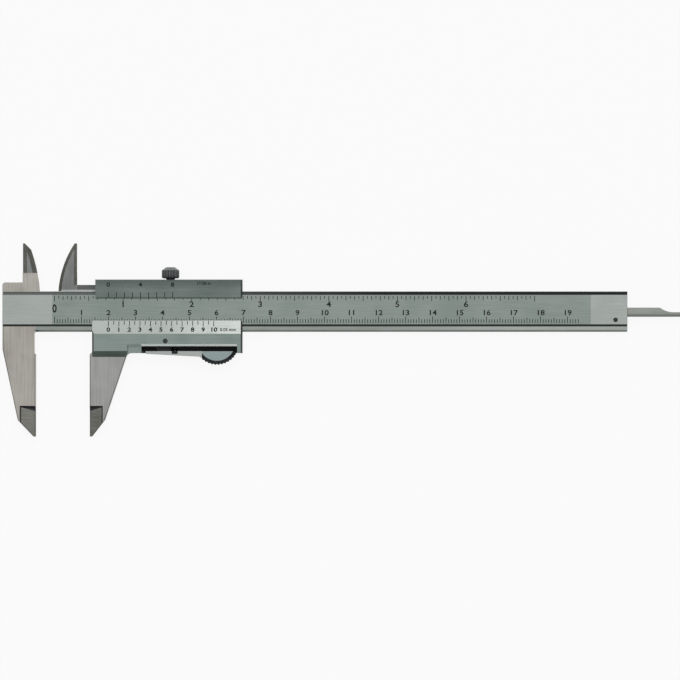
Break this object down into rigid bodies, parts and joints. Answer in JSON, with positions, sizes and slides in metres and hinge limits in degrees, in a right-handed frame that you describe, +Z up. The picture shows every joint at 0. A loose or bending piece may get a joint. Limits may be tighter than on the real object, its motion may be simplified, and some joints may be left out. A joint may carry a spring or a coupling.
{
  "type": "vernier caliper",
  "caption": "Pocket vernier caliper with outside jaws, crossing inside jaws, depth rod, knurled lock screw and a sprung thumb lever that brakes the slider on the beam.",
  "frame": {"origin": "middle of the box round the caliper as drawn, with the jaws open 20 mm, at the level of the slider's back", "axes": "+X along the beam from the fixed jaw to the depth rod's tip, +Y across the beam towards the inside jaws, +Z up out of the scale face"},
  "size_m": [0.2516, 0.0716, 0.007],
  "materials": {
    "beam_steel": "hardened stainless steel, ground jaws and satin scale face",
    "slider_steel": "satin chrome on hardened steel",
    "dark_steel": "blackened steel",
    "gib_brass": "drawn strip, dull"
  },
  "bodies": {
    "beam": {"beam": "beam_steel", "end_stop": "slider_steel", "end_stop_screw_lower": "dark_steel", "end_stop_screw_upper": "dark_steel"},
    "slider": {"slider": "slider_steel", "gib": "gib_brass", "gib_screw_near": "dark_steel", "gib_screw_far": "dark_steel", "lever_pin": "dark_steel", "lever_spring": "dark_steel", "depth_rod": "beam_steel", "rod_rivet_near": "beam_steel", "rod_rivet_far": "beam_steel"},
    "lock_pad": {"lock_pad": "gib_brass"},
    "lock_screw": {"lock_screw": "dark_steel"},
    "thumb_lever": {"thumb_lever": "slider_steel"}
  },
  "joints": [
    {"name": "slider_travel", "type": "slide", "parent": "beam", "child": "slider", "axis": [1, 0, 0], "range_m": [-0.0199, 0.13]},
    {"name": "lock_pad_press", "type": "slide", "parent": "slider", "child": "lock_pad", "axis": [0, -1, 0], "range_m": [-0.0005, 0.000125]},
    {"name": "lock_screw_turn", "type": "hinge", "parent": "lock_pad", "child": "lock_screw", "pos_m": [-0.06355, 0.0245, 0.00338], "axis": [0, -1, 0], "range_deg": [-380, 110]},
    {"name": "thumb_lever_press", "type": "hinge", "parent": "slider", "child": "thumb_lever", "pos_m": [-0.06535, -0.0004, 0.00338], "axis": [0, 0, 1], "range_deg": [0, 3], "stiffness_Nm_per_rad": 0.1, "springref_deg": -17.19, "deforming": ["lever_spring"]}
  ],
  "couplings": [
    {"joint": "lock_screw_turn", "follows": "lock_pad_press", "rad_per_m": 12566}
  ]
}
